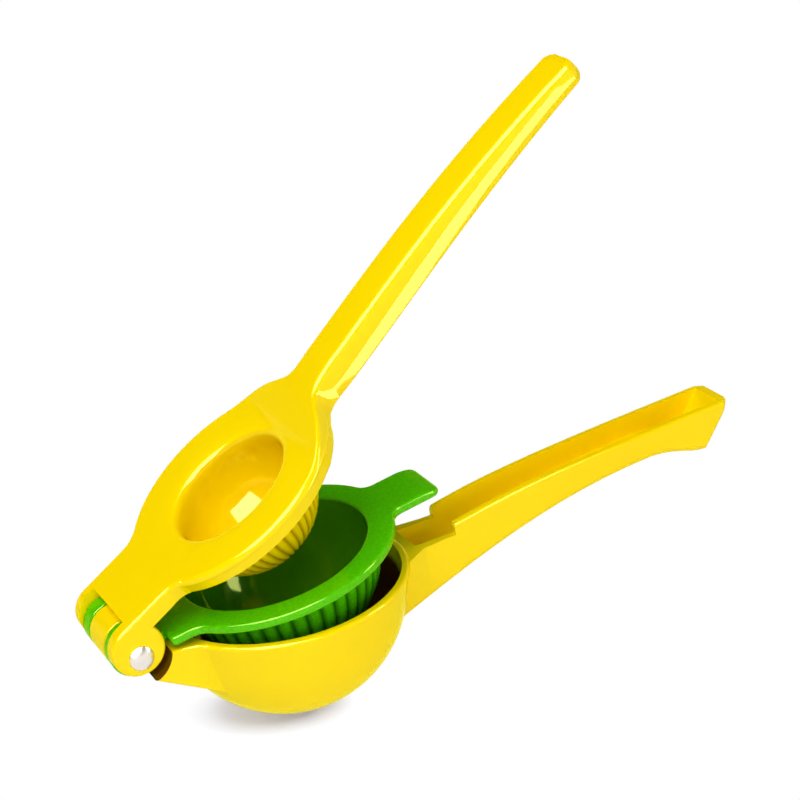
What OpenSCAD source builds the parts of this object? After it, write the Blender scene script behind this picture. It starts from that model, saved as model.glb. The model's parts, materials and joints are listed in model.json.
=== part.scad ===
// Hinged lemon and lime squeezer: a cup arm, a swing-out lime insert and a press arm
// on one cross pin. Every arm is drawn in its own frame, with the pin on the Y axis,
// its handle towards +X and its rim flat, then opened about the pin and laid on the
// table, where the squeezer rests on the cup's bowl and on the foot of the lower handle.

/* [Pose] */
// How far the lime insert stands off its seat in the cup, in degrees
insert_lift = 8; // [2:1:20]
// How far the press stands open above the cup, in degrees
press_open = 30; // [26:1:60]

/* [Hinge] */
// Radius of the hinge pin
pin_r = 2.5; // [2:0.1:3]
// Radial running clearance of the pin in the knuckle and the lugs
pin_play = 0.06; // [0.02:0.01:0.1]
// Radius of the pin's domed heads
head_r = 3.9; // [3.4:0.1:4.4]
// Height of the pin's domed heads
head_h = 1.7; // [1.2:0.1:2.4]
// Radius of the cup arm's middle knuckle
knuckle_r = 8; // [7:0.1:8.2]
// Half width of the cup arm's middle knuckle
knuckle_y = 6.5; // [5:0.1:8]
// Radius of the insert's two lugs
lug_r = 7.4; // [6.4:0.1:7.8]
// Thickness of each lug of the insert
lug_w = 4.8; // [3.6:0.1:5.6]
// Thickness of each ear of the press
ear_w = 5.8; // [4.5:0.1:7]
// Radius of the round end of each ear
ear_r = 8.25; // [7.6:0.05:8.6]
// How far the round end of an ear lies ahead of the pin
ear_x = 1; // [0.5:0.1:1.4]
// How far the slot between the ears reaches ahead of the pin, on top
slot_x = 3.7; // [3:0.1:5]
// Side gap between the knuckle, the lugs and the ears
side_gap = 0.5; // [0.3:0.1:1]
// Gap round a turning hinge part
turn_gap = 0.6; // [0.4:0.1:1]
// Gap round the ears in the cup's arm
recess_gap = 0.95; // [0.7:0.05:1.5]
// Radius of the soft edges of the ears
ear_edge = 1.2; // [0.4:0.1:1.6]
// Radius of the soft edges of the knuckle and the lugs
hinge_edge = 0.5; // [0.2:0.1:0.8]

/* [Cup] */
// Outer radius of the cup's round bottom
cup_r = 38; // [36:0.5:42]
// How much wider the cup is at its rim than at its round bottom
cup_flare = 2; // [1:0.1:3]
// Height of the rim above the middle of the round bottom
cup_rise = 2.6; // [1:0.1:4]
// Wall thickness of the cup
cup_wall = 2.6; // [2:0.1:3]
// Radius of the rim's outer edge
rim_edge = 1; // [0.5:0.1:1.2]
// Height of the rim above the pin's centre, negative when it lies below
rim_z = -1.5; // [-2:0.1:-1]
// Distance from the hinge pin to the cup's rim
neck_l = 12; // [11.5:0.5:16]
// Half width of the arm between the cup and the hinge
neck_y = 18.2; // [17.5:0.1:19]
// Radius of the fillet between that arm and the rim
cup_fillet = 8; // [4:0.5:10]
// Thickness of the arm's lip under the ears
lip_t = 0.2; // [0.1:0.1:1.2]
// How far the lip lies ahead of the pin
lip_x = 3.6; // [3:0.1:5]
// Slope of the arm's underside behind the lip, in degrees
neck_slope = 31; // [26:1:36]
// Number of juice slots in the cup
cup_slots = 8; // [6:1:10]
// Width of the juice slots
slot_w = 3; // [2.4:0.1:3.4]
// Length of the juice slots
slot_l = 9; // [7:0.5:11]

/* [Lower handle] */
// Distance from the pin to the end of the lower handle
low_reach = 210; // [190:1:220]
// Half width of the lower handle
low_y = 9.2; // [8.6:0.1:10.5]
// Half width of the lower handle where it runs into the bowl
low_spread = 16; // [13:0.5:18]
// Radius of the fillet between the rim and the lower handle
low_fillet = 16; // [10:1:20]
// Wall thickness of the handle channels
channel_wall = 2.4; // [2:0.1:3]
// Thickness of the floor of the handle channels
channel_floor = 2.8; // [2.2:0.1:3.6]
// Top of the lower handle behind the tab's recess
low_start_z = 1.8; // [1:0.1:2.6]
// Top of the lower handle at its end
low_end_z = 10.2; // [9:0.2:13]
// Where the lower handle's underside leaves the bowl, in degrees below the bowl's middle
low_root = 40; // [34:1:44]
// Underside of the lower handle at its thinnest
low_thin_z = -0.7; // [-2:0.1:0.4]
// Radius of the lower handle's top edges
low_edge = 1; // [0.5:0.1:1.1]
// Radius of the corner where the tab's recess ends
step_r = 1.2; // [0.5:0.1:1.6]
// Bottom of the foot at the handle's end
foot_z = -4.6; // [-6:0.1:-3.6]
// Radius of the foot's edge
foot_r = 2.5; // [2:0.1:3]
// How far the foot stands back from the handle's end
foot_back = 10; // [8:0.5:14]
// Height of the lip at the handle's end
tip_t = 2.1; // [1.6:0.1:3]
// Thickness of the wall that closes the channel at the handle's end
end_wall = 4.2; // [3.4:0.1:5]

/* [Lime insert] */
// Gap between the insert's ring and the cup's rim when it is seated
seat_gap = 0.4; // [0.3:0.1:0.8]
// How far the insert's ring lies inside the cup's rim
ring_inset = 1.7; // [1:0.1:2.4]
// Thickness of the insert's ring
ring_t = 2.9; // [2.4:0.1:3.4]
// Gap between the insert's flutes and the cup's round wall
lime_gap = 2.6; // [2.2:0.1:3.4]
// Wall of the insert's bowl, measured to the tops of the flutes
lime_wall = 3; // [2.6:0.1:3.4]
// Depth of the grooves between the insert's flutes
lime_groove = 1; // [0.6:0.1:1.2]
// Half width of the insert's neck
lime_neck_y = 19.1; // [18.5:0.1:20]
// Half width of the insert's thumb tab
tab_y = 10.2; // [9:0.1:11]
// How far the thumb tab stands out from the ring
tab_l = 15.6; // [12:0.1:16]
// Length of the slope at the thumb tab's end
tab_slope_l = 5.5; // [3:0.5:7]
// Drop of that slope
tab_drop = 0.9; // [0.4:0.1:1.2]
// Radius of the fillet between the insert's ring and its neck
lime_fillet = 6; // [3:0.5:8]
// Radius of the fillet between the insert's ring and its thumb tab
tab_fillet = 4; // [2:0.5:6]
// Corner radius of the thumb tab
tab_corner = 3; // [2:0.2:4]
// Corner radius of the insert's neck
lime_corner = 1.5; // [1.2:0.1:2.5]
// Radius of the soft edges of the insert's ring, neck and tab
lime_edge = 0.8; // [0.4:0.1:1.1]
// Number of juice slots in the insert
lime_slots = 6; // [5:1:8]

/* [Press] */
// How far the middle of the press plate lies beyond the middle of the cup
press_ahead = 1.6; // [0.6:0.1:2.6]
// How far the plate's top lies inside the insert's ring
plate_inset = 1.5; // [1.2:0.1:4]
// How much smaller the plate is at its bottom
plate_draft = 1.4; // [1:0.1:3]
// Height of the plate's top above the pin's centre
plate_z = 10.5; // [10:0.1:11.5]
// Thickness of the press plate
plate_t = 6.1; // [5.4:0.1:6.8]
// Radius of the plate's rounded top edge
plate_edge = 1.6; // [1:0.1:2.2]
// Radius of the soft lower edges of the press
press_edge = 0.8; // [0.4:0.1:1.2]
// Room for the rind between the fluted dome and the insert's bowl
rind = 5.8; // [5:0.1:7]
// Depth of the grooves between the dome's flutes
dome_groove = 0.9; // [0.5:0.1:1.1]
// Wall between the dome and the dish above it
dome_wall = 4.2; // [2.8:0.1:5]
// Radius of the dish's rounded rim
dish_edge = 3.2; // [1:0.1:4]
// Radius of the fillet between the neck and the plate
neck_fillet = 8; // [5:0.5:10]
// Number of flutes round the insert and round the dome
flutes = 42; // [30:2:48]

/* [Upper handle] */
// Distance from the pin to the end of the upper handle
up_reach = 215; // [195:1:225]
// Half width of the upper handle where it leaves the plate
up_root_y = 8.4; // [8:0.1:10]
// Half width of the upper handle near its end
up_end_y = 8; // [7.2:0.1:9]
// Radius of the upper handle's top edges
up_edge = 2; // [1.4:0.1:3.4]
// How far the upper handle's sides swell out
up_crown = 0.5; // [0.1:0.1:0.8]
// Radius of the fillet between the plate and the upper handle
root_fillet = 8; // [5:0.5:10]
// Top of the upper handle just past the plate
up_start_z = 18.7; // [18:0.1:20]
// Top of the upper handle at its end
up_end_z = 31.2; // [29:0.2:33]
// Underside of the upper handle at its end
up_low_z = 24.2; // [22:0.2:25]

/* [Hidden] */
$fn = 96;
// Overlap that joins two forms of one solid, and the run-out of a cut
bite = 0.5;
// Radius of the handles' end corners
end_corner = 3;
// Where the top of the press starts to sweep up to its handle, back from the plate's edge, and the
// length of the sweep
sweep_back = 19.8;
sweep_l = 29;
// Where the underside of the press starts to lift, back from the plate's edge, and its first lift
lift_back = 11.3;
lift_by = [11, 2.5];
// How far behind its lip the underside of the cup's arm starts, and how much higher
lip_lead = [-2, 1.2];
// Share of the way to the bowl over which that underside is straight
neck_straight = 0.9;
// How far ahead of the foot the lower handle is thinnest
thin_back = 20;
// How far the foot's flat bottom reaches ahead of its edge
foot_flat_l = 6;
// Steps round a corner of the insert's thumb tab
corner_steps = 4;
// Colours
enamel = [1, 0.85, 0];
lime = [0.28, 0.72, 0.05];
steel = [0.82, 0.82, 0.84];

// Side stations of the hinge, outwards from the middle
lug_y = knuckle_y + side_gap;
slot_y = lug_y + lug_w + side_gap;
ear_y = slot_y + ear_w;
bore_r = pin_r + pin_play;

// Sizes that follow the cup
rim_r = cup_r + cup_flare;
cup_reach = neck_l + rim_r;
ring_r = rim_r - ring_inset;
lime_r = cup_r - cup_wall - lime_gap - lime_wall;
tab_reach = cup_reach + ring_r + tab_l;
press_reach = cup_reach + press_ahead;
plate_r = ring_r - plate_inset;
dome_r = lime_r - rind;

// Cup: the round bottom's centre, and where the conical upper wall leaves the ball
ball_z = rim_z - cup_rise;
wall_turn = atan2(cup_rise, rim_r) - acos(cup_r / norm([rim_r, cup_rise]));
ear_z = plate_z - ear_r;
recess_r = ear_r + recess_gap;
lip_z = recess_r + lip_t;

// The squeezer lies on the bowl and on the foot of the lower handle
foot_x = low_reach - foot_back;
foot_at = [foot_x - cup_reach, foot_z + foot_r - ball_z];
rest_tilt = atan2(foot_at[1], foot_at[0]) + asin((cup_r - foot_r) / norm(foot_at));
ball_x = cup_reach * cos(rest_tilt) + ball_z * sin(rest_tilt);
ball_up = ball_z * cos(rest_tilt) - cup_reach * sin(rest_tilt);

// Insert and press heights
ring_z = rim_z + seat_gap;
ring_top = ring_z + ring_t;
plate_low = plate_z - plate_t;
swing_r = knuckle_r + turn_gap;
neck_end = ear_x + ear_r + turn_gap;
// End of the recess that the tab lies in, and the height of its floor
recess_end = tab_reach + 3 * turn_gap;
recess_z = rim_z - turn_gap;

// A point at parameter t on the cubic curve through a and d, pulled by b and c
function bend(a, b, c, d, t) =
    a * pow(1 - t, 3) + b * 3 * t * pow(1 - t, 2) + c * 3 * t * t * (1 - t) + d * pow(t, 3);
// The same curve as a list of points, n steps long
function curve(a, b, c, d, n) = [for (i = [0:n]) bend(a, b, c, d, i / n)];
// Points joined end to end, without the first point of each later piece
function tail(list) = [for (i = [1:len(list) - 1]) list[i]];
function flat(lists) = [for (list = lists) for (point = list) point];
// Height of a chain of points at x
function height(points, x) = lookup(x, points);

// A rounded rectangle across the arm at x: half width y at the top, less by draft at the bottom, its sides
// swelling out by crown
function section(x, y, low, high, edge_low, edge_high, draft, steps, crown = 0) =
    let (
        most = min(y - draft, (high - low) / 2) - 0.01,
        b = min(edge_low, most),
        t = min(edge_high, most),
        foot = y - draft - b,
        quarter = function (cy, cz, r, from)
            [for (i = [0:steps]) let (a = from + 90 * i / steps) [x, cy + r * cos(a), cz + r * sin(a)]],
        // points up one side, on the side given by way
        swell = function (way, shares)
            [for (i = shares) [x, way * (y - draft * (1 - i) + 4 * crown * i * (1 - i)),
                low + b + (high - t - low - b) * i]]
    )
    concat(
        quarter(y - t, high - t, t, 0),
        quarter(t - y, high - t, t, 90),
        crown > 0 ? swell(-1, [0.75, 0.5, 0.25]) : [],
        quarter(-foot, low + b, b, 180),
        quarter(foot, low + b, b, 270),
        crown > 0 ? swell(1, [0.25, 0.5, 0.75]) : []
    );

// Where a fillet of radius r ends between a disc and a straight bar of half width y, from the disc's centre
function fillet_run(disc, y, r) = sqrt(pow(disc + r, 2) - pow(y + r, 2));
// Half width at x of that disc, its fillet and the bar
function waist(x, disc, y, r) =
    let (run = fillet_run(disc, y, r), touch = run * disc / (disc + r))
    x < touch ? sqrt(max(0, disc * disc - x * x)) : x < run ? y + r - sqrt(r * r - pow(run - x, 2)) : y;

// How much the round corners take off a handle's half width at x, when its end is at reach
function corner(x, reach) =
    let (turn = 75 * max(0, x - reach + end_corner) / end_corner)
    end_corner * (1 - cos(turn));

// A closed solid through rings of points, first to last. Each end is one flat face, or where in_strips is
// set, strips from the points of the ring's first half to those of its second: the ring, alike on both
// sides of y = 0, may then have hollow sides and a slope.
module loft(rings, in_strips = false) {
    n = len(rings[0]);
    m = len(rings);
    sides = [for (i = [0:m - 2]) for (j = [0:n - 1])
        [i * n + j, (i + 1) * n + j, (i + 1) * n + (j + 1) % n, i * n + (j + 1) % n]];
    first = in_strips ? [for (j = [0:n / 2 - 2]) [j, j + 1, n - 2 - j, n - 1 - j]] : [[for (j = [0:n - 1]) j]];
    last = [for (face = first) [for (k = [len(face) - 1:-1:0]) (m - 1) * n + face[k]]];
    polyhedron(points = flat(rings), faces = concat(first, last, sides));
}

// A fluted half ball below z = 0, its flutes fading towards the pole
module fluted_ball(r, groove, rings) {
    around = flutes * 4;
    tip_angle = 5;
    loft([for (i = [0:rings]) let (polar = 90 - (90 - tip_angle) * i / rings)
        [for (j = [0:around - 1]) let (
            a = -360 * j / around,
            depth = groove * sin(polar) * (1 - abs(cos(flutes * a / 2))),
            reach = r - depth
        ) [reach * sin(polar) * cos(a), reach * sin(polar) * sin(a), -reach * cos(polar)]]]);
}

// Half the section of a round plate or bar: from the axis out to r, from low to high, outer edges rounded
module soft_half(r, low, high, edge) {
    translate([0, low]) square([r - edge, high - low]);
    translate([0, low + edge]) square([r, high - low - 2 * edge]);
    for (z = [low + edge, high - edge]) translate([r - edge, z]) circle(r = edge);
}

// The hollow of a round bowl: a half ball below z = 0, a straight wall up to rise and a rounded rim
module bowl_hollow(r, rise, edge) {
    rotate_extrude() {
        intersection() {
            circle(r = r);
            translate([0, -r]) square([r, r]);
        }
        square([r, rise + bite]);
        difference() {
            translate([r - edge, rise - edge]) square([2 * edge, edge + bite]);
            translate([r + edge, rise - edge]) circle(r = edge);
        }
    }
}

// Places a form drawn across the arm, mirrored to both sides
module both_sides() {
    children();
    mirror([0, 1, 0]) children();
}

// A cylinder along the pin, from y0 to y1
module across(r, y0, y1, at = [0, 0]) {
    translate([at[0], y1, at[1]]) rotate([90, 0, 0]) cylinder(r = r, h = y1 - y0);
}

// A round bar along the pin with rounded ends, from y0 to y1
module soft_across(r, y0, y1, edge, at = [0, 0]) {
    translate([at[0], 0, at[1]]) rotate([-90, 0, 0]) rotate_extrude() soft_half(r, y0, y1, edge);
}

// A side profile in X and Z, thickened to half width y on both sides
module slab(y) {
    translate([0, y, 0]) rotate([90, 0, 0]) linear_extrude(2 * y) children();
}

// One juice slot along X, its middle at radius r
module juice_slot(r) {
    translate([r, 0, -cup_r * 2]) linear_extrude(cup_r * 2) {
        square([slot_l - slot_w, slot_w], center = true);
        for (end = [-1, 1]) translate([end * (slot_l - slot_w) / 2, 0]) circle(r = slot_w / 2);
    }
}

module juice_slots(count) {
    for (i = [0:count - 1]) rotate([0, 0, 360 * (i + 0.5) / count]) juice_slot(slot_l);
}

// Lays an arm on the table, the bowl's lowest point on the origin
module on_table() {
    translate([-ball_x, 0, cup_r - ball_up]) rotate([0, rest_tilt, 0]) children();
}

// Opens an arm about the pin
module opened(angle) {
    rotate([0, -angle, 0]) children();
}

// Distance from the axis of the cup's conical wall at height z, where it runs on from a ball of radius r
function wall_x(r, z) = (r - z * sin(wall_turn)) / cos(wall_turn);

// Half section of a ball of radius r whose upper part is that wall, up to height top
module cup_half(r, top) {
    turn_z = r * sin(wall_turn);
    intersection() {
        circle(r = r);
        translate([0, -r]) square([r, r + turn_z]);
    }
    polygon([[0, turn_z - bite], [wall_x(r, turn_z) - bite, turn_z - bite], [wall_x(r, turn_z), turn_z],
        [wall_x(r, top), top], [0, top]]);
}

// The cup's outside with its rounded rim
module cup_outside() {
    edge_z = cup_rise - rim_edge;
    edge_x = wall_x(cup_r - rim_edge, edge_z);
    rotate_extrude() {
        cup_half(cup_r, edge_z + rim_edge * sin(wall_turn));
        square([edge_x, cup_rise]);
        translate([edge_x, edge_z]) circle(r = rim_edge);
    }
}

// Along and up, how far the lower handle's curves are pulled: its underside from the bowl, before and
// after its thinnest place, then its top after the step and before the end
root_pull = [35, 14];
thin_pull = [36, 1.4];
foot_pull = [9, 0];
step_pull = [21, 4.6];
low_end_pull = [50, 2.2];

// The lower handle's underside leaves the bowl inside its wall, and is thinnest ahead of the foot
root_r = cup_r - cup_wall;
root_at = [cup_reach + root_r * cos(low_root), ball_z - root_r * sin(low_root)];
thin_at = [foot_x - thin_back, low_thin_z];
low_under = concat(
    curve(root_at, root_at + root_pull, thin_at - thin_pull, thin_at, 12),
    tail(curve(thin_at, thin_at + foot_pull, [foot_x - foot_flat_l, foot_z], [foot_x, foot_z], 6)));
// Its top starts with the round corner of the recess
low_step = [for (turn = [0:30:90])
    [recess_end + step_r * (1 - cos(turn)), low_start_z - step_r * (1 - sin(turn))]];
low_start = [recess_end + step_r, low_start_z];
low_end = [low_reach, low_end_z];
low_top = concat(low_step, tail(curve(low_start, low_start + step_pull, low_end - low_end_pull, low_end, 10)));

// Half width of the lower handle at x: it spreads where it meets the bowl
function low_half(x) = min(low_spread, waist(x - cup_reach, rim_r, low_y, low_fillet));
// Height of the slanted end of the lower handle at x
function end_z(x) = foot_z + (low_end_z - tip_t - foot_z) * (x - foot_x) / foot_back;

module lower_handle() {
    stations = concat(
        [for (p = low_under) if (p[0] < recess_end - bite) p[0]],
        [for (p = low_step) p[0]],
        [for (p = low_under) if (p[0] > low_start[0] + bite) p[0]],
        [for (share = [0.2, 0.4, 0.6]) foot_x + (foot_back - end_corner) * share],
        [for (turn = [0:15:75]) low_reach - end_corner * (1 - turn / 75)]);
    channel_x = cup_reach + rim_r;
    channel_top = low_end_z + foot_back;
    difference() {
        loft([for (x = stations) section(x, low_half(x) - corner(x, low_reach),
            x > foot_x ? end_z(x) : height(low_under, x),
            height(low_top, x), foot_r, low_edge, low_half(x) - low_y, 3)]);
        // the recess that the insert's tab lies in
        translate([root_at[0] - bite, -low_spread - bite, recess_z])
            cube([recess_end - root_at[0] + bite, 2 * (low_spread + bite), low_spread]);
        // the channel
        slab(low_y - channel_wall) polygon(concat(
            [for (p = low_under) if (p[0] > channel_x && p[0] < foot_x - bite) [p[0], p[1] + channel_floor]],
            [for (x = [foot_x + end_wall, low_reach + foot_back]) [x - end_wall, end_z(x)]],
            [[channel_x, channel_top]]));
    }
}

// The arm between the hinge and the cup: its underside is straight, then curves into the bowl
neck_side_r = sqrt(cup_r * cup_r - neck_y * neck_y);
neck_root = 36;
neck_lip = [lip_x, -lip_z];
neck_pull = 4;
neck_turn = neck_lip + (cup_reach - neck_side_r - lip_x) * neck_straight * [1, -tan(neck_slope)];
neck_end_at = [cup_reach - neck_side_r * cos(neck_root), ball_z - neck_side_r * sin(neck_root)];
neck_under = concat([neck_lip + lip_lead, neck_lip],
    curve(neck_turn, neck_turn + neck_pull * [cos(neck_slope), -sin(neck_slope)],
        neck_end_at - neck_pull * [sin(neck_root), -cos(neck_root)], neck_end_at, 6));

// Where the fillet between that arm and the rim ends on each, from the cup's middle
neck_run = fillet_run(rim_r, neck_y, cup_fillet);
neck_touch = neck_run * rim_r / (rim_r + cup_fillet);
// Half width of that arm at x
function neck_half(x) = waist(max(cup_reach - x, neck_touch), rim_r, neck_y, cup_fillet);

module lower_neck() {
    stations = concat(
        [for (p = neck_under) if (p[0] < cup_reach - neck_run - bite) p[0]],
        [for (share = [0:0.2:1]) cup_reach - neck_run + (neck_run - neck_touch) * share],
        [for (p = neck_under) if (p[0] > cup_reach - neck_touch + bite) p[0]]);
    difference() {
        loft([for (x = stations) section(x, neck_half(x), height(neck_under, x), rim_z,
            rim_edge, rim_edge, neck_half(x) - neck_y, 3)]);
        // room for the ears and the lugs to turn in
        both_sides() across(recess_r, knuckle_y, neck_y + bite);
    }
}

module knuckle() {
    soft_across(knuckle_r, -knuckle_y, knuckle_y, hinge_edge);
    slab(knuckle_y) polygon([[0, -knuckle_r], neck_lip, [neck_end + turn_gap, -lip_z],
        [neck_end + turn_gap, rim_z], [0, rim_z]]);
}

module lower_cup() {
    color(enamel) on_table() difference() {
        union() {
            translate([cup_reach, 0, ball_z]) cup_outside();
            lower_neck();
            knuckle();
            lower_handle();
        }
        translate([cup_reach, 0, ball_z]) {
            rotate_extrude() cup_half(cup_r - cup_wall, cup_rise + bite);
            juice_slots(cup_slots);
        }
        across(bore_r, -knuckle_y - bite, knuckle_y + bite);
    }
}

// Points on an arc about c, from angle a to angle b in n steps
function arc(c, r, a, b, n) = [for (i = [0:n]) let (t = a + (b - a) * i / n) c + r * [cos(t), sin(t)]];

// Outline of the insert's plate where y is positive, from the tab's end round the ring to the neck's end,
// drawn in by inset
function insert_side(inset) =
    let (
        middle = [cup_reach, 0],
        tab_pivot = middle + [fillet_run(ring_r, tab_y, tab_fillet), tab_y + tab_fillet],
        neck_pivot = middle + [-fillet_run(ring_r, lime_neck_y, lime_fillet), lime_neck_y + lime_fillet],
        tab_turn = atan2(tab_pivot[1], tab_pivot[0] - cup_reach),
        neck_turn = atan2(neck_pivot[1], cup_reach - neck_pivot[0])
    )
    concat(
        arc([tab_reach - tab_corner, tab_y - tab_corner], tab_corner - inset, 0, 90, corner_steps),
        [[tab_reach - tab_slope_l, tab_y - inset]],
        arc(tab_pivot, tab_fillet + inset, 270, 180 + tab_turn, 5),
        arc(middle, ring_r - inset, tab_turn, 180 - neck_turn, 30),
        arc(neck_pivot, lime_fillet + inset, -neck_turn, -90, 5),
        arc([neck_end + lime_corner, lime_neck_y - lime_corner], lime_corner - inset, 90, 180, 3)
    );
// The whole outline at height z, which falls by drop from the start of the tab's slope to its end
function insert_outline(inset, z, drop) =
    let (
        side = insert_side(inset),
        level = [for (p = side) z - drop * max(0, 1 - (tab_reach - p[0]) / tab_slope_l)]
    )
    concat([for (i = [0:len(side) - 1]) [side[i][0], side[i][1], level[i]]],
        [for (i = [len(side) - 1:-1:0]) [side[i][0], -side[i][1], level[i]]]);

// Ring, neck and thumb tab of the insert: one flat plate with soft edges
module insert_plate() {
    loft(concat(
        [for (turn = [0:30:90])
            insert_outline(lime_edge * (1 - sin(turn)), ring_z + lime_edge * (1 - cos(turn)), 0)],
        [for (turn = [90:-30:0])
            insert_outline(lime_edge * (1 - sin(turn)), ring_top - lime_edge * (1 - cos(turn)), tab_drop)]
    ), in_strips = true);
}

module lug() {
    difference() {
        union() {
            soft_across(lug_r, lug_y, lug_y + lug_w, hinge_edge);
            translate([0, lug_y, ring_z]) cube([neck_end + lug_w, lug_w, ring_t]);
        }
        across(bore_r, lug_y - bite, lug_y + lug_w + bite);
    }
}

module lime_insert() {
    mouth_z = ring_top - lime_edge;
    color(lime) on_table() opened(insert_lift) {
        difference() {
            union() {
                insert_plate();
                translate([cup_reach, 0, mouth_z]) fluted_ball(lime_r + lime_wall, lime_groove, 12);
            }
            translate([cup_reach, 0, mouth_z]) {
                bowl_hollow(lime_r, lime_edge, lime_edge);
                juice_slots(lime_slots);
            }
            // room for the knuckle
            translate([0, -lug_y, ring_z - bite]) cube([neck_end + turn_gap, 2 * lug_y, ring_t + 2 * bite]);
        }
        both_sides() lug();
    }
}

// Along and up, how far the press's curves are pulled: its top off the plate, before and after the
// handle's start, and before its end
rise_pull = [8, 0];
sweep_pull = [15, 2.7];
start_pull = [32, 5.4];
up_end_pull = [50, 1];
// The same for its underside: off the plate, before and after the end of the lift, and before the tip
lift_pull = [3.5, 0.6];
lifted_pull = [6, 0.7];
under_pull = [35, 4.3];
tip_pull = [55, 4];

// Upper and lower outlines of the press from the plate to the handle's end, each in two curves
up_rise = [press_reach + plate_r - sweep_back, plate_z];
up_start = [up_rise[0] + sweep_l, up_start_z];
up_end = [up_reach, up_end_z];
up_top = concat(
    curve(up_rise, up_rise + rise_pull, up_start - sweep_pull, up_start, 12),
    tail(curve(up_start, up_start + start_pull, up_end - up_end_pull, up_end, 12)));
lift_start = [press_reach + plate_r - lift_back, plate_low];
lift_end = lift_start + lift_by;
low_tip = [up_reach, up_low_z];
up_under = concat(
    curve(lift_start, lift_start + lift_pull, lift_end - lifted_pull, lift_end, 4),
    tail(curve(lift_end, lift_end + under_pull, low_tip - tip_pull, low_tip, 12)));

// A trace of crown on the plate too, so that every ring has as many points
least_crown = 0.001;

// Half width of the press at x: the plate, a fillet, then the handle to its round end
function up_half(x) =
    let (along = max(0, x - up_start[0]) / (up_reach - up_start[0]))
    waist(x - press_reach, plate_r, up_root_y + (up_end_y - up_root_y) * along, root_fillet)
        - corner(x, up_reach);

module upper_handle() {
    stations = concat([for (p = up_top) if (p[0] < up_reach - end_corner - bite) p[0]],
        [for (turn = [0:15:75]) up_reach - end_corner * (1 - turn / 75)]);
    channel_x = press_reach + plate_r + channel_wall;
    channel_end = up_reach - end_wall;
    difference() {
        loft([for (x = stations)
            let (
                on_plate = max(0, min(1, (up_start[0] - x) / (up_start[0] - up_rise[0]))),
                soften = corner(x, up_reach) / 4
            )
            section(x, up_half(x),
                (x < lift_start[0] ? plate_low : height(up_under, x)) + soften,
                height(up_top, x) - soften, press_edge, up_edge + (plate_edge - up_edge) * on_plate,
                plate_draft * on_plate, 4, up_crown * (1 + least_crown - on_plate))]);
        // the channel, open towards the lower handle, its roof sloping up from the plate's end
        slab(up_end_y - channel_wall) polygon(concat(
            [[channel_x, 0], [channel_x, plate_z - channel_floor]],
            [for (p = up_top) if (p[0] > channel_x + end_wall && p[0] < channel_end - bite)
                p - [0, channel_floor]],
            [[channel_end, height(up_top, channel_end) - channel_floor], [channel_end, 0]]));
    }
}

// A round plate with drafted sides and a rounded top edge
module press_plate() {
    translate([press_reach, 0, 0]) rotate_extrude() {
        polygon([[0, plate_low], [plate_r - plate_draft, plate_low], [plate_r, plate_z - plate_edge],
            [plate_r - plate_edge, plate_z], [0, plate_z]]);
        translate([plate_r - plate_edge, plate_z - plate_edge]) circle(r = plate_edge);
    }
}

// The neck between the ears and the plate, and the round ends of the ears
module press_neck() {
    run = fillet_run(plate_r, ear_y, neck_fillet);
    touch = run * plate_r / (plate_r + neck_fillet);
    loft(concat(
        [section(ear_x, ear_y, plate_low, plate_z, press_edge, ear_edge, 0, 4)],
        [for (share = [0:0.125:1]) let (out = run + (touch - run) * share)
            section(press_reach - out, waist(out, plate_r, ear_y, neck_fillet), plate_low, plate_z,
                press_edge, ear_edge + (plate_edge - ear_edge) * share, plate_draft * share, 4)],
        [section(press_reach - touch + neck_fillet, ear_y, plate_low, plate_z,
            press_edge, plate_edge, plate_draft, 4)]));
    soft_across(ear_r, -ear_y, ear_y, ear_edge, [ear_x, ear_z]);
}

module upper_press() {
    dish_r = dome_r - dome_wall;
    color(enamel) on_table() opened(press_open) difference() {
        union() {
            press_plate();
            press_neck();
            upper_handle();
            translate([press_reach, 0, plate_low + 0.01]) fluted_ball(dome_r, dome_groove, 10);
        }
        // the dish above the dome
        translate([press_reach, 0, plate_low]) {
            bowl_hollow(dish_r, plate_t, dish_edge);
            translate([0, 0, plate_t]) cylinder(r = dish_r + dish_edge, h = plate_t);
        }
        // the slot that the knuckle and the lugs turn in, open towards the lower arms
        across(swing_r, -slot_y, slot_y);
        translate([-cup_reach, -slot_y, -cup_reach]) {
            cube([cup_reach + slot_x, 2 * slot_y, 2 * cup_reach]);
            cube([cup_reach + neck_end, 2 * slot_y, cup_reach + plate_low]);
        }
        across(pin_r, -ear_y - bite, ear_y + bite);
    }
}

// A domed head on the outside of an ear, on the side where y is negative
module pin_head() {
    cap_r = (head_r * head_r + head_h * head_h) / (2 * head_h);
    intersection() {
        translate([0, -ear_y - head_h + cap_r, 0]) sphere(r = cap_r);
        across(head_r, -ear_y - head_h, -ear_y);
    }
}

module hinge_pin() {
    color(steel) on_table() opened(press_open) {
        across(pin_r, -ear_y - 0.1, ear_y);
        pin_head();
    }
}

module hinge_pin_cap() {
    color(steel) on_table() opened(press_open) mirror([0, 1, 0]) pin_head();
}

lower_cup();
lime_insert();
upper_press();
hinge_pin();
hinge_pin_cap();
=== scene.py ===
"""Looks of the hinged citrus squeezer: thick enamel on castings, a fluted insert and a polished pin."""
import json
import math

import bmesh
import bpy
from mathutils import Matrix, Vector


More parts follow.
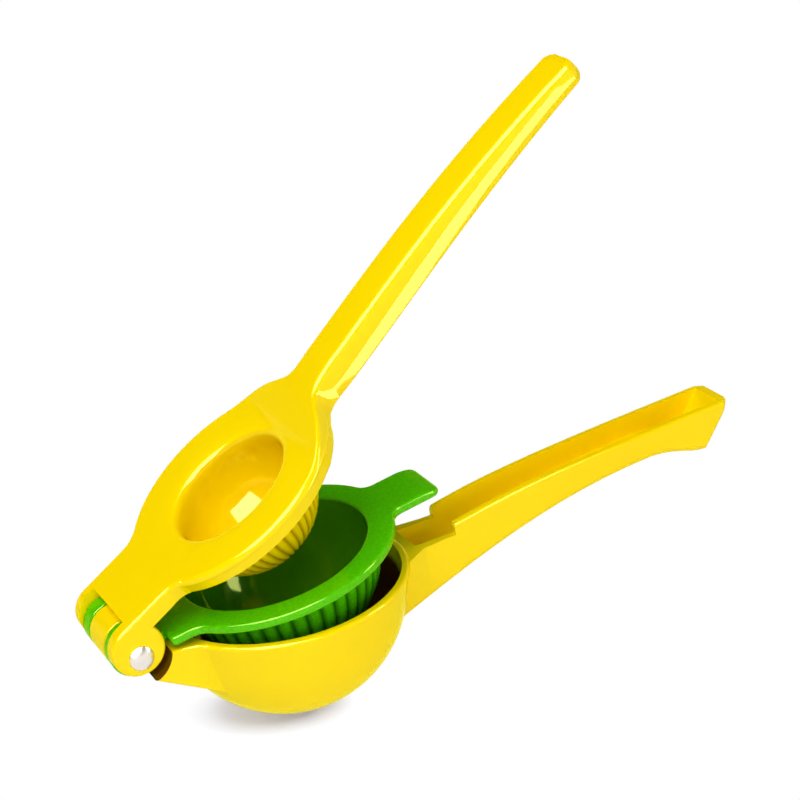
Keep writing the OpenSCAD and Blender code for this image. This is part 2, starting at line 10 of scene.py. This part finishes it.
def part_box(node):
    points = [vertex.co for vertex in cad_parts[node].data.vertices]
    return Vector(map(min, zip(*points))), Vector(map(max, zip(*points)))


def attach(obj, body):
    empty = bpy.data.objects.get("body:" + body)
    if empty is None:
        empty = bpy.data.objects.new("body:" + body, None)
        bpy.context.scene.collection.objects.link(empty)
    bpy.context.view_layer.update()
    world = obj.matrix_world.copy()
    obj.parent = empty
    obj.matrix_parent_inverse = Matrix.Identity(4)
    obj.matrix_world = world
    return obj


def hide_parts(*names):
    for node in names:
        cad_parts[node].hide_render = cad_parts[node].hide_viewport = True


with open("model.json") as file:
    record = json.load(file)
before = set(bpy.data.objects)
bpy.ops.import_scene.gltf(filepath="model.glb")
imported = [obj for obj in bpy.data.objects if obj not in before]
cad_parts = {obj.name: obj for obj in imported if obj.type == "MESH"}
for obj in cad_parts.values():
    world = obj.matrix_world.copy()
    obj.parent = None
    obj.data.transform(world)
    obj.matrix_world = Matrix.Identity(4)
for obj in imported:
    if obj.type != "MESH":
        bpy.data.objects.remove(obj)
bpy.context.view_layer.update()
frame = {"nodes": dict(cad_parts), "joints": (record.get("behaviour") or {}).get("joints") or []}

MM = 0.001
WHITE = (1.0, 1.0, 1.0)

# ---------------------------------------------------------------- finishes

# Yellow enamel, linear: the coat, its slow deeper patches, the tint of its gloss, and the painted shade
# inside the cup and on the walls of its neck's recesses, in the press's dish and in the grooves of its dome
YELLOW = (0.92, 0.68, 0.001)
YELLOW_DEEP = (0.88, 0.57, 0.0)
YELLOW_GLOSS = (1.0, 0.99, 0.4)
CUP_PAINTED_SHADE = (0.15, 0.04, 0.006)
DISH_PAINTED_SHADE = (0.72, 0.50, 0.0)
YELLOW_GROOVE_PAINTED_SHADE = (0.45, 0.20, 0.0)

# Green enamel, linear: the coat, its specks and patches, the tint of its gloss, and the painted shade
# in its bowl and in its grooves
GREEN = (0.085, 0.55, 0.006)
GREEN_DARK = (0.07, 0.30, 0.003)
GREEN_GLOSS = (0.9, 1.0, 0.3)
GREEN_BOWL_PAINTED_SHADE = (0.06, 0.26, 0.003)
GREEN_GROOVE_PAINTED_SHADE = (0.004, 0.06, 0.001)

# Slow patches: their scale, how deep the deepest is, and the band of noise they span
YELLOW_PATCH_SCALE = 14.0
YELLOW_PATCH_DEPTH = 0.35
GREEN_PATCH_SCALE = 16.0
GREEN_PATCH_DEPTH = 0.25
PATCH_BAND = (0.3, 0.75)

# Fine dark specks in the green
SPECK_SCALE = 1100.0
SPECK_DETAIL = 3.0
SPECK_DEPTH = 0.4
SPECK_BAND = (0.4, 0.65)

# Orange peel: its scale, the finer grain on it and that grain's share, and how deep both are
PEEL_SCALE = 170.0
PEEL_DETAIL = 1.0
GRAIN_SCALE = 900.0
GRAIN_SHARE = 0.25
PEEL_DEPTH = 0.4 * MM
YELLOW_PEEL = 0.015
GREEN_PEEL = 0.03

# Gloss: where it wears from bright to dull, and the roughness at both ends
WEAR_SCALE = 60.0
WEAR_DETAIL = 4.0
WEAR_BAND = (0.35, 0.65)
YELLOW_ROUGH = (0.05, 0.09)
GREEN_ROUGH = (0.05, 0.1)

# The tint lies in a thin coat that hardly bends light
THIN_COAT = 1.02
COAT_ROUGH = 0.05

# Plating of the pin: its colour, its roughness from patch to patch, and the fine rub marks in it
PLATING = (0.86, 0.80, 0.72)
PLATING_ROUGH = (0.26, 0.36)
PLATING_PATCH_SCALE = 300.0
PLATING_BAND = (0.3, 0.7)
RUB_SCALE = 1500.0
RUB_DETAIL = 3.0
RUB_STRENGTH = 0.04
RUB_DEPTH = 0.2 * MM

# ---------------------------------------------------------------- places on the castings

HINGE = Vector(frame["joints"][0]["pos_m"])

# Edges less sharp than this are smooth under the enamel, and points nearer than this to each other are one
HARD_EDGE = math.radians(38.0)
WELD = 0.002 * MM

# Each pair of radii marks a hollow where shade is painted: none of it beyond the first,
# all of it within the second
BOWL_MIDDLE = Vector((0.0, 0.0, 38.0)) * MM
CUP_HOLLOW_R = (36.4 * MM, 36.0 * MM)
RECESS_R = (9.45 * MM, 9.35 * MM)
INSERT_MIDDLE = Vector((2.5, 0.0, 50.2)) * MM
INSERT_HOLLOW_R = (30.5 * MM, 29.9 * MM)
DISH_MIDDLE = Vector((1.25, 0.0, 73.55)) * MM
DISH_HOLLOW_R = (21.8 * MM, 18.8 * MM)

# How far along the pin the knuckle ends and the recesses beside it begin
KNUCKLE_SIDE = (6.9 * MM, 7.0 * MM)

# The ways the insert and the press face, and the radii between which their fluted skins lie
INSERT_AXIS = Vector((0.1158, 0.0, 0.9933))
INSERT_SKIN = (31.2 * MM, 33.7 * MM)
DISH_AXIS = Vector((-0.2647, 0.0, 0.9643))
DOME_SKIN = (22.0 * MM, 29.0 * MM)
SKIN_FADE = 0.3 * MM

# The grooves between the flutes: how many, from where down shade is painted in them, how far across each,
# and how dark that painted shade is
FLUTES = 42
GROOVE_TOP = (-0.4 * MM, -1.4 * MM)
GROOVE_BAND = (0.8, 0.1)
GROOVE_SHARE = 0.75

# The stretch of the dish's edge that is rounded off: how far out, how far along its axis, and how much
DISH_OUT = (19.0 * MM, 23.05 * MM)
DISH_ALONG = (-1.0 * MM, 8.0 * MM)
DISH_PASSES = 10
DISH_EASE = 0.5

# The insert's lugs: where they lie along the pin, between which radii their skin is, and how much it grows
LUG_Y = (6.9 * MM, 12.0 * MM)
LUG_R = (6.5 * MM, 7.6 * MM)
LUG_GROWTH = 1.08

# The lugs' outer faces and the ears' inner ones, how far out they move, and how far ahead of the pin
LUG_OUTER = (11.2 * MM, 12.0 * MM)
EAR_INNER = (12.1 * MM, 12.6 * MM)
SLOT_GROWTH = 1.1 * MM
HINGE_REACH = 9.0 * MM

# The pin and its domed heads, whose edge turns in and runs on towards the ear
PIN_R = 2.5 * MM
HEAD_R = 3.9 * MM
HEAD_H = 1.7 * MM
HEAD_EDGE_IN = 0.15 * MM
HEAD_EDGE_ON = 0.05 * MM
HEAD_STEPS = 16
PIN_STEPS = 72
PIN_WELD = 0.003 * MM

# ---------------------------------------------------------------- studio

# The camera looks at the middle of the squeezer from the front left, rolled to the right
AIM = Vector((59.3, 0.5, 71.5)) * MM
TURN = math.radians(-15.0)
RISE = math.radians(27.83)
ROLL = math.radians(-25.3)
REACH = 700 * MM
NEAREST = 10 * MM
LENS = 103.1
SENSOR = 36.0

# Light that comes evenly from all round, and how the sky dims in reflections from low to high
SKY = (0.95, 0.97, 1.0)
FILL = 0.3
DIM_HEIGHT = (0.15, 0.36)
DIM_MOST = 0.96

# The front lamp: degrees to the right of the camera and above it, metres off, metres square, watts, and how
# far it leans to the right. A second lamp close before it shows only in the gloss
FRONT_SIDE = -22
FRONT_LIFT = 28
FRONT_OFF = 1.1
FRONT_SIZE = (1.1, 1.1)
FRONT_WATTS = 11.2
FRONT_LEAN = math.radians(36.0)
SHEEN_OFF = 1.08
SHEEN_WATTS = 55.0

# The lamp overhead
TOP_AT = (0.05, 0.1, 1.1)
TOP_SIZE = (0.5, 0.5)
TOP_WATTS = 2.3

# The low lamp that lights the undersides and doesn't show in the gloss
LOW_SIDE = 20
LOW_LIFT = -10
LOW_OFF = 1.1
LOW_SIZE = (0.8, 0.4)
LOW_WATTS = 3.2

# The panel in front, only in the gloss: the upper handle's side mirrors its upper edge along its length
PANEL_AT = Vector((118.0, -60.0, 82.0)) * MM
PANEL_SIZE = (0.13, 0.045)
PANEL_SLOPE = math.radians(-40.0)
PANEL_WATTS = 0.2

# The floor: half its side, its colour under the lamps, and the white that lies over its shadow
FLOOR_HALF = 4.0
FLOOR_COLOUR = (0.86, 0.87, 0.96)
SHADE_COLOUR = (0.65, 0.7, 1.0)
SHADE_LIFT = 0.2

# The floor's shadow: its middle, the way its long side turns, its width for its length, and how near it is
# whole and how far off gone
SHADOW_AT = Vector((-20.0, 8.0, 0.0)) * MM
SHADOW_TURN = math.radians(126.0)
SHADOW_WIDTH = 0.42
SHADOW_REACH = (0.018, 0.032)


# ---------------------------------------------------------------- material nodes


def new_material(name):
    material = bpy.data.materials.new(name)
    material.use_nodes = True
    material.node_tree.nodes.clear()
    return material, material.node_tree


def add(tree, kind, inputs=None, **settings):
    """One node; inputs maps a socket to a value or to the socket that feeds it."""
    node = tree.nodes.new(kind)
    for key, value in settings.items():
        setattr(node, key, value)
    for socket, value in (inputs or {}).items():
        if isinstance(value, bpy.types.NodeSocket):
            tree.links.new(value, node.inputs[socket])
        else:
            node.inputs[socket].default_value = value
    return node


def place(tree):
    return add(tree, "ShaderNodeTexCoord").outputs["Object"]


def noise(tree, where, scale, detail=2.0):
    return add(tree, "ShaderNodeTexNoise", {"Vector": where, "Scale": scale, "Detail": detail}).outputs["Fac"]


def spread(tree, value, low, high, to_low=0.0, to_high=1.0):
    """Carries what lies between low and high over to between to_low and to_high."""
    return add(tree, "ShaderNodeMapRange", {"Value": value, "From Min": low, "From Max": high,
                                            "To Min": to_low, "To Max": to_high}).outputs["Result"]


def math_node(tree, operation, a, b=0.0):
    return add(tree, "ShaderNodeMath", {0: a, 1: b}, operation=operation).outputs["Value"]


def vector_node(tree, operation, a, b=(0.0, 0.0, 0.0)):
    return add(tree, "ShaderNodeVectorMath", {0: a, 1: tuple(b)}, operation=operation).outputs


def mixed(tree, share, first, second):
    """Colour between two colours, each a tuple or a socket."""
    node = add(tree, "ShaderNodeMix", data_type="RGBA")
    for index, value in ((0, share), (6, first), (7, second)):
        if isinstance(value, bpy.types.NodeSocket):
            tree.links.new(value, node.inputs[index])
        elif index:
            node.inputs[index].default_value = (*value, 1.0)
        else:
            node.inputs[index].default_value = value
    return node.outputs[2]


def bump(tree, height, strength, depth):
    node = add(tree, "ShaderNodeBump", {"Height": height, "Strength": strength, "Distance": depth})
    return node.outputs["Normal"]


# ---------------------------------------------------------------- marks of painted shade on the castings


def hollow_painted_shade(middle, outer, inner):
    """Marks where shade is painted in a hollow: what lies nearer to the middle than inner as 1, and what lies
    beyond outer as 0.
    """
    def share(tree):
        apart = vector_node(tree, "DISTANCE", place(tree), middle)["Value"]
        return spread(tree, apart, outer, inner)
    return share


def recess_painted_shade(tree):
    """Marks the walls of the recesses in the cup's neck that the ears and the lugs turn in, where shade is
    painted.
    """
    apart = vector_node(tree, "SUBTRACT", place(tree), HINGE)["Vector"]
    across = vector_node(tree, "MULTIPLY", apart, (1.0, 0.0, 1.0))["Vector"]
    out = vector_node(tree, "LENGTH", across)["Value"]
    along = math_node(tree, "ABSOLUTE", add(tree, "ShaderNodeSeparateXYZ", {0: apart}).outputs["Y"])
    return math_node(tree, "MULTIPLY", spread(tree, out, *RECESS_R), spread(tree, along, *KNUCKLE_SIDE))


def flute_crest(tree, apart, axis):
    """1 along the crest of each flute round the axis and 0 in the grooves between them."""
    ahead = vector_node(tree, "DOT_PRODUCT", apart, (axis.z, 0.0, -axis.x))["Value"]
    side = add(tree, "ShaderNodeSeparateXYZ", {0: apart}).outputs["Y"]
    turn = math_node(tree, "ARCTAN2", side, ahead)
    wave = math_node(tree, "COSINE", math_node(tree, "MULTIPLY", turn, FLUTES / 2))
    return math_node(tree, "ABSOLUTE", wave)


def groove_painted_shade(middle, axis, skin):
    """Marks where shade is painted in the grooves of a fluted half ball that hangs below its middle, square
    to the axis.
    """
    def share(tree):
        apart = vector_node(tree, "SUBTRACT", place(tree), middle)["Vector"]
        out = vector_node(tree, "LENGTH", apart)["Value"]
        rise = vector_node(tree, "DOT_PRODUCT", apart, axis)["Value"]
        on_skin = math_node(tree, "MULTIPLY", spread(tree, out, skin[0], skin[0] + SKIN_FADE),
                            spread(tree, out, skin[1], skin[1] - SKIN_FADE))
        groove_shade = spread(tree, flute_crest(tree, apart, axis), *GROOVE_BAND, 0.0, GROOVE_SHARE)
        below = spread(tree, rise, *GROOVE_TOP)
        return math_node(tree, "MULTIPLY", groove_shade, math_node(tree, "MULTIPLY", on_skin, below))
    return share


# ---------------------------------------------------------------- finishes


def enamel_surface(tree, colour, tint, gloss, orange_peel):
    """Thick sprayed enamel: orange peel under a gloss that takes more of the tint the more it slants."""
    where = place(tree)
    grain = math_node(tree, "MULTIPLY", noise(tree, where, GRAIN_SCALE), GRAIN_SHARE)
    peel = math_node(tree, "ADD", noise(tree, where, PEEL_SCALE, PEEL_DETAIL), grain)
    rough = spread(tree, noise(tree, where, WEAR_SCALE, WEAR_DETAIL), *WEAR_BAND, *gloss)
    shader = add(tree, "ShaderNodeBsdfPrincipled", {
        "Base Color": colour, "Roughness": rough, "Normal": bump(tree, peel, orange_peel, PEEL_DEPTH),
        "Specular IOR Level": 0.5, "Coat Weight": 1.0, "Coat IOR": THIN_COAT, "Coat Roughness": COAT_ROUGH,
        "Coat Tint": (*tint, 1.0)})
    add(tree, "ShaderNodeOutputMaterial", {"Surface": shader.outputs["BSDF"]})


def yellow_enamel(name, *painted_shades):
    """Yellow enamel, a little deeper in slow patches; each of the painted shades is a mark of where shade is
    painted and its colour there.
    """
    material, tree = new_material(name)
    patches = noise(tree, place(tree), YELLOW_PATCH_SCALE)
    colour = mixed(tree, spread(tree, patches, *PATCH_BAND, 0.0, YELLOW_PATCH_DEPTH), YELLOW, YELLOW_DEEP)
    for mark, shade in painted_shades:
        colour = mixed(tree, mark(tree), colour, shade)
    enamel_surface(tree, colour, YELLOW_GLOSS, YELLOW_ROUGH, YELLOW_PEEL)
    return material


def green_enamel(name, *painted_shades):
    """Green enamel with fine dark specks and slow patches; each of the painted shades is a mark of where
    shade is painted and its colour.
    """
    material, tree = new_material(name)
    where = place(tree)
    specks = spread(tree, noise(tree, where, SPECK_SCALE, SPECK_DETAIL), *SPECK_BAND, 0.0, SPECK_DEPTH)
    patches = spread(tree, noise(tree, where, GREEN_PATCH_SCALE), *PATCH_BAND, 0.0, GREEN_PATCH_DEPTH)
    colour = mixed(tree, math_node(tree, "ADD", specks, patches), GREEN, GREEN_DARK)
    for mark, shade in painted_shades:
        colour = mixed(tree, mark(tree), colour, shade)
    enamel_surface(tree, colour, GREEN_GLOSS, GREEN_ROUGH, GREEN_PEEL)
    return material


def polished_plating(name):
    """Bright plated steel with fine rub marks, a little duller in patches."""
    material, tree = new_material(name)
    where = place(tree)
    rub = noise(tree, where, RUB_SCALE, RUB_DETAIL)
    rough = spread(tree, noise(tree, where, PLATING_PATCH_SCALE), *PLATING_BAND, *PLATING_ROUGH)
    shader = add(tree, "ShaderNodeBsdfPrincipled", {
        "Base Color": (*PLATING, 1.0), "Metallic": 1.0, "Roughness": rough,
        "Normal": bump(tree, rub, RUB_STRENGTH, RUB_DEPTH)})
    add(tree, "ShaderNodeOutputMaterial", {"Surface": shader.outputs["BSDF"]})
    return material


# ---------------------------------------------------------------- pieces


def finish_piece(work, name, body, node, material):
    """Turns a bmesh into a piece that stands for a CAD node."""
    mesh = bpy.data.meshes.new(name)
    for face in work.faces:
        face.smooth = True
    work.to_mesh(mesh)
    work.free()
    piece = bpy.data.objects.new(name, mesh)
    bpy.context.scene.collection.objects.link(piece)
    mesh.materials.append(material)
    flats_first = piece.modifiers.new("flats_first", "WEIGHTED_NORMAL")
    flats_first.keep_sharp = True
    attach(piece, body)
    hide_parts(node)
    return piece


def merged_copy(node):
    work = bmesh.new()
    work.from_mesh(frame["nodes"][node].data)
    bmesh.ops.remove_doubles(work, verts=work.verts, dist=WELD)
    return work


def casting(node):
    """The casting's own skin, smooth over its soft edges and crisp where a cut leaves a hard one."""
    work = merged_copy(node)
    for edge in work.edges:
        edge.smooth = edge.calc_face_angle(0.0) < HARD_EDGE
    return work


def soft_dish(work):
    """Rounds the way from the plate into the dish."""
    near = []
    for vert in work.verts:
        along = (vert.co - DISH_MIDDLE).dot(DISH_AXIS)
        out = (vert.co - DISH_MIDDLE - along * DISH_AXIS).length
        if DISH_OUT[0] < out < DISH_OUT[1] and DISH_ALONG[0] < along < DISH_ALONG[1]:
            near.append(vert)
    for _ in range(DISH_PASSES):
        bmesh.ops.smooth_vert(work, verts=near, factor=DISH_EASE,
                              use_axis_x=True, use_axis_y=True, use_axis_z=True)
    for edge in {edge for vert in near for edge in vert.link_edges}:
        edge.smooth = True
    return work


def spread_sideways(work, low, high):
    """Moves what lies low to high from the middle of the hinge farther out by SLOT_GROWTH."""
    for vert in work.verts:
        if low < abs(vert.co.y) < high and vert.co.x < HINGE.x + HINGE_REACH:
            vert.co.y += math.copysign(SLOT_GROWTH, vert.co.y)
    return work


def wider_lugs(work):
    """The insert's lugs fill the wider slot, out to the knuckle's own radius."""
    for vert in work.verts:
        out = Vector((vert.co.x - HINGE.x, vert.co.z - HINGE.z))
        beside_knuckle = LUG_Y[0] < abs(vert.co.y) < LUG_Y[1]
        if beside_knuckle and LUG_R[0] < out.length < LUG_R[1] and out.x < LUG_R[0]:
            out *= LUG_GROWTH
            vert.co.x, vert.co.z = HINGE.x + out.x, HINGE.z + out.y
    return spread_sideways(work, *LUG_OUTER)


def turned_on_pin(outline):
    """Spins an outline of (distance from the pin's axis, place along it) round that axis."""
    work = bmesh.new()
    points = [work.verts.new((HINGE.x + out, along, HINGE.z)) for out, along in outline]
    edges = [work.edges.new(pair) for pair in zip(points, points[1:])]
    bmesh.ops.spin(work, geom=points + edges, cent=(HINGE.x, 0, HINGE.z), axis=(0, 1, 0),
                   angle=math.tau, steps=PIN_STEPS, use_merge=True)
    bmesh.ops.remove_doubles(work, verts=work.verts, dist=PIN_WELD)
    bmesh.ops.recalc_face_normals(work, faces=work.faces)
    return work


def domed_end(side, tip):
    """Outline of a domed head with a rolled edge, from its tip to where it sits on the ear."""
    dome = (HEAD_R * HEAD_R + HEAD_H * HEAD_H) / (2 * HEAD_H)
    edge = math.asin(HEAD_R / dome)
    leans = [edge * i / HEAD_STEPS for i in range(HEAD_STEPS + 1)]
    rolled = [(dome * math.sin(lean), tip - side * dome * (1 - math.cos(lean))) for lean in leans]
    return rolled + [(HEAD_R - HEAD_EDGE_IN, tip - side * (HEAD_H + HEAD_EDGE_ON))]


def headed_pin():
    """The near head and the shaft that runs through the ears, the lugs and the knuckle."""
    low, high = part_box("hinge_pin")
    outline = domed_end(-1, low.y)
    return turned_on_pin(outline + [(PIN_R, outline[-1][1]), (PIN_R, high.y), (0.0, high.y)])


def far_head():
    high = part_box("hinge_pin_cap")[1]
    outline = domed_end(1, high.y)
    return turned_on_pin(outline + [(0.0, outline[-1][1])])


def enamelled_castings():
    # Painted shade: dark brown inside the cup and on its neck's recesses, darker yellow in the press's dish
    # and dome grooves, and dark green in the insert's bowl and grooves
    cup_finish = yellow_enamel("cup_enamel",
                               (hollow_painted_shade(BOWL_MIDDLE, *CUP_HOLLOW_R), CUP_PAINTED_SHADE),
                               (recess_painted_shade, CUP_PAINTED_SHADE))
    press_finish = yellow_enamel("press_enamel",
                                 (hollow_painted_shade(DISH_MIDDLE, *DISH_HOLLOW_R), DISH_PAINTED_SHADE),
                                 (groove_painted_shade(DISH_MIDDLE, DISH_AXIS, DOME_SKIN), YELLOW_GROOVE_PAINTED_SHADE))
    insert_finish = green_enamel("insert_enamel",
                                 (hollow_painted_shade(INSERT_MIDDLE, *INSERT_HOLLOW_R), GREEN_BOWL_PAINTED_SHADE),
                                 (groove_painted_shade(INSERT_MIDDLE, INSERT_AXIS, INSERT_SKIN), GREEN_GROOVE_PAINTED_SHADE))
    cup = casting("lower_cup")
    insert = wider_lugs(casting("lime_insert"))
    press = soft_dish(spread_sideways(casting("upper_press"), *EAR_INNER))
    finish_piece(cup, "enamelled_cup", "lower", "lower_cup", cup_finish)
    finish_piece(insert, "enamelled_insert", "insert", "lime_insert", insert_finish)
    finish_piece(press, "enamelled_press", "press", "upper_press", press_finish)


def plated_pin():
    pin_finish = polished_plating("pin_plating")
    finish_piece(headed_pin(), "headed_pin", "press", "hinge_pin", pin_finish)
    finish_piece(far_head(), "far_pin_head", "press", "hinge_pin_cap", pin_finish)


# ---------------------------------------------------------------- stage


def white_for_the_eye(tree):
    """1 on what the camera, a reflection or glass sees directly."""
    path = add(tree, "ShaderNodeLightPath")
    seen = math_node(tree, "MAXIMUM", path.outputs["Is Camera Ray"], path.outputs["Is Glossy Ray"])
    return math_node(tree, "MAXIMUM", seen, path.outputs["Is Transmission Ray"])


def studio_world():
    """White behind the squeezer, dim above it in reflections, and an even soft fill for the rest."""
    world = bpy.data.worlds.new("studio")
    bpy.context.scene.world = world
    world.use_nodes = True
    tree = world.node_tree
    tree.nodes.clear()
    way = add(tree, "ShaderNodeTexCoord").outputs["Generated"]
    height = add(tree, "ShaderNodeSeparateXYZ", {0: way}).outputs["Z"]
    mirrored = add(tree, "ShaderNodeLightPath").outputs["Is Glossy Ray"]
    dim = math_node(tree, "MULTIPLY", mirrored, spread(tree, height, *DIM_HEIGHT, 0.0, DIM_MOST))
    soft = add(tree, "ShaderNodeBackground", {"Color": (*SKY, 1.0), "Strength": FILL})
    white = add(tree, "ShaderNodeBackground", {"Color": (*WHITE, 1.0),
                                               "Strength": math_node(tree, "SUBTRACT", 1.0, dim)})
    both = add(tree, "ShaderNodeMixShader", {0: white_for_the_eye(tree), 1: soft.outputs[0],
                                             2: white.outputs[0]})
    add(tree, "ShaderNodeOutputWorld", {"Surface": both.outputs[0]})


def shadow_side(tree):
    """0 where the floor's shadow is whole and 1 where it is gone."""
    along = add(tree, "ShaderNodeMapping", {"Vector": place(tree), "Location": tuple(SHADOW_AT),
                                            "Rotation": (0.0, 0.0, SHADOW_TURN),
                                            "Scale": (1.0, SHADOW_WIDTH, 1.0)}, vector_type="TEXTURE")
    return spread(tree, vector_node(tree, "LENGTH", along.outputs["Vector"])["Value"], *SHADOW_REACH)


def floor_finish():
    """White to the eye but for the soft shadow by the bowl, and lit like any pale floor for the rest."""
    material, tree = new_material("pale_floor")
    lit = add(tree, "ShaderNodeBsdfDiffuse", {"Color": (*FLOOR_COLOUR, 1.0)})
    lift = math_node(tree, "MULTIPLY", white_for_the_eye(tree), SHADE_LIFT)
    glow = add(tree, "ShaderNodeEmission", {"Color": (*SHADE_COLOUR, 1.0), "Strength": lift})
    near = add(tree, "ShaderNodeAddShader", {0: lit.outputs[0], 1: glow.outputs[0]})
    white = add(tree, "ShaderNodeEmission", {"Color": (*WHITE, 1.0), "Strength": 1.0})
    share = math_node(tree, "MULTIPLY", white_for_the_eye(tree), shadow_side(tree))
    both = add(tree, "ShaderNodeMixShader", {0: share, 1: near.outputs[0], 2: white.outputs[0]})
    add(tree, "ShaderNodeOutputMaterial", {"Surface": both.outputs[0]})
    return material


def pale_floor():
    work = bmesh.new()
    bmesh.ops.create_grid(work, x_segments=1, y_segments=1, size=FLOOR_HALF)
    mesh = bpy.data.meshes.new("floor")
    work.to_mesh(mesh)
    work.free()
    floor = bpy.data.objects.new("floor", mesh)
    mesh.materials.append(floor_finish())
    bpy.context.scene.collection.objects.link(floor)


def camera_frame():
    """The ways to the camera's right, up from it, and back to it from what it looks at."""
    back = Vector((math.sin(TURN) * math.cos(RISE), -math.cos(TURN) * math.cos(RISE), math.sin(RISE)))
    level = Vector((math.cos(TURN), math.sin(TURN), 0.0))
    right = level * math.cos(ROLL) + back.cross(level) * math.sin(ROLL)
    return right, back.cross(right), back


def from_camera(side, lift, away):
    """A place round the squeezer: degrees to the right of the camera, degrees above it, and how far off."""
    right, up, back = camera_frame()
    side, lift = math.radians(side), math.radians(lift)
    return AIM + away * (right * math.sin(side) * math.cos(lift) + up * math.sin(lift)
                         + back * math.cos(side) * math.cos(lift))


def lamp_box(name, size, watts):
    lamp = bpy.data.lights.new(name, "AREA")
    lamp.shape = "RECTANGLE"
    lamp.size, lamp.size_y = size
    lamp.energy = watts
    box = bpy.data.objects.new(name, lamp)
    bpy.context.scene.collection.objects.link(box)
    return box


def softbox(name, at, size, watts, lean=0.0):
    """A soft lamp that faces the middle of the squeezer, leaning to the right in the camera's view."""
    box = lamp_box(name, size, watts)
    at = Vector(at)
    box.location = at
    back = (at - AIM).normalized()
    level = camera_frame()[1].cross(back).normalized()
    turn = Matrix((level, back.cross(level), back)).transposed() @ Matrix.Rotation(-lean, 3, "Z")
    box.rotation_euler = turn.to_euler()
    return box


def studio_lamps():
    front_at = from_camera(FRONT_SIDE, FRONT_LIFT, FRONT_OFF)
    softbox("front_box", front_at, FRONT_SIZE, FRONT_WATTS, FRONT_LEAN)
    sheen_at = from_camera(FRONT_SIDE, FRONT_LIFT, SHEEN_OFF)
    sheen = softbox("front_sheen", sheen_at, FRONT_SIZE, SHEEN_WATTS, FRONT_LEAN)
    sheen.visible_diffuse = False
    softbox("top_box", TOP_AT, TOP_SIZE, TOP_WATTS)
    fill = softbox("low_fill", from_camera(LOW_SIDE, LOW_LIFT, LOW_OFF), LOW_SIZE, LOW_WATTS)
    fill.visible_glossy = False
    panel = lamp_box("low_sheen", PANEL_SIZE, PANEL_WATTS)
    panel.location = PANEL_AT
    panel.rotation_euler = (math.pi / 2, PANEL_SLOPE, 0.0)
    panel.visible_diffuse = False


def rolled_camera():
    right, up, back = camera_frame()
    lens = bpy.data.cameras.new("camera")
    lens.lens = LENS
    lens.sensor_width = SENSOR
    lens.clip_start = NEAREST
    camera = bpy.data.objects.new("camera", lens)
    turn = Matrix((right, up, back)).transposed().to_4x4()
    camera.matrix_world = Matrix.Translation(AIM + back * REACH) @ turn
    bpy.context.scene.collection.objects.link(camera)
    bpy.context.scene.camera = camera


def main():
    enamelled_castings()
    plated_pin()
    studio_world()
    pale_floor()
    studio_lamps()
    rolled_camera()
    bpy.context.scene.view_settings.view_transform = "Standard"


main()
